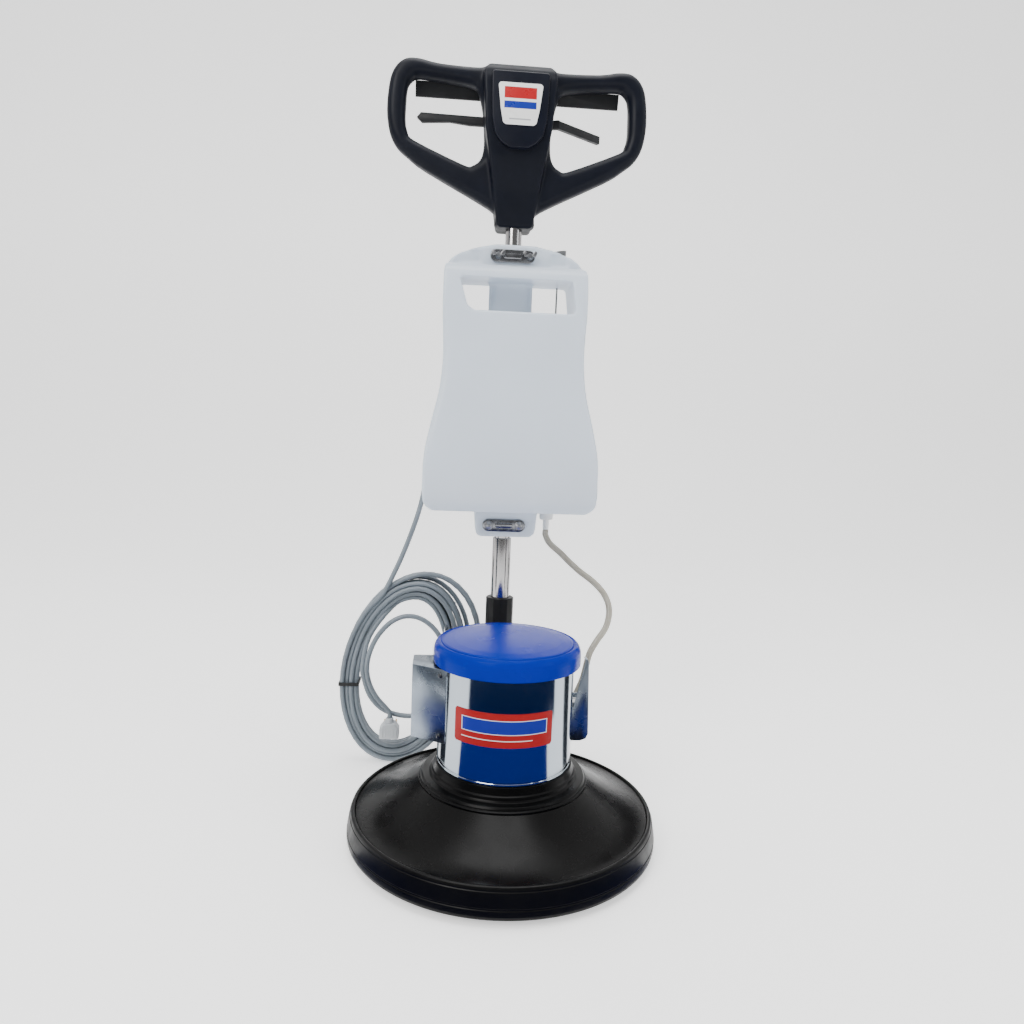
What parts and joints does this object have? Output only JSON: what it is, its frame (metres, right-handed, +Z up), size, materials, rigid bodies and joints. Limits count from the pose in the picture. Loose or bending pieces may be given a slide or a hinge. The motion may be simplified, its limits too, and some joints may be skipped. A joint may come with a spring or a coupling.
{
  "type": "rotary floor machine",
  "caption": "Rotary floor scrubber and polisher: round motor and deck over a spinning pad, tilting pole with water tank and looped handle head.",
  "frame": {"origin": "on the drive axis, where the pad meets the floor", "axes": "+Z up along the drive axis and the upright pole, +Y back towards the operator, +X to the right as seen from the front of the machine"},
  "size_m": [0.4774, 0.527, 1.12],
  "materials": {
    "deck_housing": "gloss black",
    "bumper_ring": "satin black rubber",
    "motor_flange": "gloss black",
    "flange_bolts": "zinc plated",
    "gearbox_cover": "cast",
    "ring_gear": "machined",
    "motor_shell": "mirror",
    "front_plate": "gloss",
    "motor_cap": "gloss blue",
    "upper_bracket": "cast",
    "bearings": "ground",
    "stator_core": "laminated",
    "stator_windings": "enamelled copper",
    "capacitor_cover_left": "polished sheet",
    "capacitor_cover_right": "polished sheet",
    "capacitors": "satin",
    "yoke_bracket": "black paint",
    "bracket_pins": "zinc plated",
    "cord_hook": "zinc plated",
    "cord_coil": "grey cord jacket",
    "cord_tail": "grey cord jacket",
    "cord_tie": "black",
    "mains_plug": "light grey",
    "hose_fitting": "machined",
    "planet_carrier": "machined",
    "clutch_plate": "machined",
    "pad_driver": "moulded",
    "floor_pad": "non-woven black",
    "planet_gear_1": "bronze",
    "planet_gear_2": "bronze",
    "planet_gear_3": "bronze",
    "motor_shaft": "ground",
    "rotor_core": "laminated",
    "cooling_fan": "moulded",
    "wheel_left": "black",
    "wheel_right": "black",
    "pole_fork": "black paint",
    "pole_sleeve": "black",
    "pole_tube": "polished",
    "water_tank": "translucent white",
    "tank_clamps": "zinc plated",
    "clamp_screws": "zinc plated",
    "tank_valve": "white",
    "head_front_shell": "fine texture",
    "head_rear_shell": "fine texture",
    "badge_panel": "satin",
    "head_plate": "white plate",
    "lever_pins": "ground",
    "power_switch": "moulded",
    "cord_gland": "black rubber",
    "power_cord": "grey cord jacket",
    "water_hose": "grey-beige tube",
    "tank_cap": "off white",
    "lock_rod": "drawn",
    "release_lever_left": "satin",
    "release_lever_right": "satin",
    "valve_rod": "grey",
    "switch_lever_left": "satin",
    "switch_lever_right": "satin",
    "safety_button": "gloss red"
  },
  "bodies": {
    "base": {"deck_housing": "deck_housing", "bumper_ring": "bumper_ring", "motor_flange": "motor_flange", "flange_bolts": "flange_bolts", "gearbox_cover": "gearbox_cover", "ring_gear": "ring_gear", "motor_shell": "motor_shell", "front_plate": "front_plate", "motor_cap": "motor_cap", "upper_bracket": "upper_bracket", "bearings": "bearings", "stator_core": "stator_core", "stator_windings": "stator_windings", "capacitor_cover_left": "capacitor_cover_left", "capacitor_cover_right": "capacitor_cover_right", "capacitors": "capacitors", "yoke_bracket": "yoke_bracket", "bracket_pins": "bracket_pins", "cord_hook": "cord_hook", "cord_coil": "cord_coil", "cord_tail": "cord_tail", "cord_tie": "cord_tie", "mains_plug": "mains_plug", "hose_fitting": "hose_fitting"},
    "drive": {"planet_carrier": "planet_carrier", "clutch_plate": "clutch_plate", "pad_driver": "pad_driver", "floor_pad": "floor_pad"},
    "planet_1": {"planet_gear_1": "planet_gear_1"},
    "planet_2": {"planet_gear_2": "planet_gear_2"},
    "planet_3": {"planet_gear_3": "planet_gear_3"},
    "rotor": {"motor_shaft": "motor_shaft", "rotor_core": "rotor_core", "cooling_fan": "cooling_fan"},
    "wheel_l": {"wheel_left": "wheel_left"},
    "wheel_r": {"wheel_right": "wheel_right"},
    "handle": {"pole_fork": "pole_fork", "pole_sleeve": "pole_sleeve", "pole_tube": "pole_tube", "water_tank": "water_tank", "tank_clamps": "tank_clamps", "clamp_screws": "clamp_screws", "tank_valve": "tank_valve", "head_front_shell": "head_front_shell", "head_rear_shell": "head_rear_shell", "badge_panel": "badge_panel", "head_plate": "head_plate", "lever_pins": "lever_pins", "power_switch": "power_switch", "cord_gland": "cord_gland", "power_cord": "power_cord", "water_hose": "water_hose"},
    "filler_cap": {"tank_cap": "tank_cap"},
    "lock": {"lock_rod": "lock_rod"},
    "release_left": {"release_lever_left": "release_lever_left"},
    "release_right": {"release_lever_right": "release_lever_right"},
    "water_valve": {"valve_rod": "valve_rod"},
    "switch_left": {"switch_lever_left": "switch_lever_left"},
    "switch_right": {"switch_lever_right": "switch_lever_right"},
    "button": {"safety_button": "safety_button"}
  },
  "joints": [
    {"name": "handle_tilt", "type": "hinge", "parent": "base", "child": "handle", "pos_m": [0, 0.2, 0.112], "axis": [-1, 0, 0], "range_deg": [0, 60], "deforming": ["power_cord", "water_hose"]},
    {"name": "pad_drive_spin", "type": "hinge", "parent": "base", "child": "drive", "pos_m": [0, 0, 0], "axis": [0, 0, 1], "continuous": true},
    {"name": "rotor_spin", "type": "hinge", "parent": "base", "child": "rotor", "pos_m": [0, 0, 0.1], "axis": [0, 0, 1], "continuous": true},
    {"name": "wheel_left_spin", "type": "hinge", "parent": "base", "child": "wheel_l", "pos_m": [-0.045, 0.262, 0.052], "axis": [1, 0, 0], "continuous": true},
    {"name": "wheel_right_spin", "type": "hinge", "parent": "base", "child": "wheel_r", "pos_m": [0.045, 0.262, 0.052], "axis": [1, 0, 0], "continuous": true},
    {"name": "switch_left_squeeze", "type": "hinge", "parent": "handle", "child": "switch_left", "pos_m": [-0.04, 0.222, 1.104], "axis": [-1, 0, 0], "range_deg": [0, 10], "stiffness_Nm_per_rad": 0.6, "springref_deg": -20.05},
    {"name": "switch_right_squeeze", "type": "hinge", "parent": "handle", "child": "switch_right", "pos_m": [0.04, 0.222, 1.104], "axis": [-1, 0, 0], "range_deg": [0, 10], "stiffness_Nm_per_rad": 0.6, "springref_deg": -20.05},
    {"name": "release_left_squeeze", "type": "hinge", "parent": "handle", "child": "release_left", "pos_m": [0.02, 0.2095, 1.041], "axis": [0, 1, 0], "range_deg": [0, 8], "stiffness_Nm_per_rad": 4, "springref_deg": -20.05},
    {"name": "release_right_squeeze", "type": "hinge", "parent": "handle", "child": "release_right", "pos_m": [-0.02, 0.2195, 1.041], "axis": [0, -1, 0], "range_deg": [0, 8]},
    {"name": "lock_rod_lift", "type": "slide", "parent": "handle", "child": "lock", "axis": [0, 0, 1], "range_m": [0, 0.0029]},
    {"name": "valve_lift", "type": "slide", "parent": "handle", "child": "water_valve", "axis": [0, 0, 1], "range_m": [0, 0.008]},
    {"name": "filler_cap_lift", "type": "slide", "parent": "handle", "child": "filler_cap", "axis": [0, 0, 1], "range_m": [0, 0.03]},
    {"name": "safety_button_press", "type": "slide", "parent": "handle", "child": "button", "axis": [0, -1, 0], "range_m": [0, 0.004], "stiffness_N_per_m": 400, "springref_m": -0.004},
    {"name": "planet_1_spin", "type": "hinge", "parent": "drive", "child": "planet_1", "pos_m": [0.036, 0, 0.094], "axis": [0, 0, 1], "continuous": true},
    {"name": "planet_2_spin", "type": "hinge", "parent": "drive", "child": "planet_2", "pos_m": [-0.018, 0.03118, 0.094], "axis": [0, 0, 1], "continuous": true},
    {"name": "planet_3_spin", "type": "hinge", "parent": "drive", "child": "planet_3", "pos_m": [-0.018, -0.03118, 0.094], "axis": [0, 0, 1], "continuous": true}
  ],
  "couplings": [
    {"joint": "rotor_spin", "follows": "pad_drive_spin", "ratio": 8},
    {"joint": "release_right_squeeze", "follows": "release_left_squeeze", "ratio": 1},
    {"joint": "lock_rod_lift", "follows": "release_left_squeeze", "m_per_rad": 0.02},
    {"joint": "planet_1_spin", "follows": "pad_drive_spin", "ratio": -2.3333},
    {"joint": "planet_2_spin", "follows": "pad_drive_spin", "ratio": -2.3333},
    {"joint": "planet_3_spin", "follows": "pad_drive_spin", "ratio": -2.3333}
  ]
}
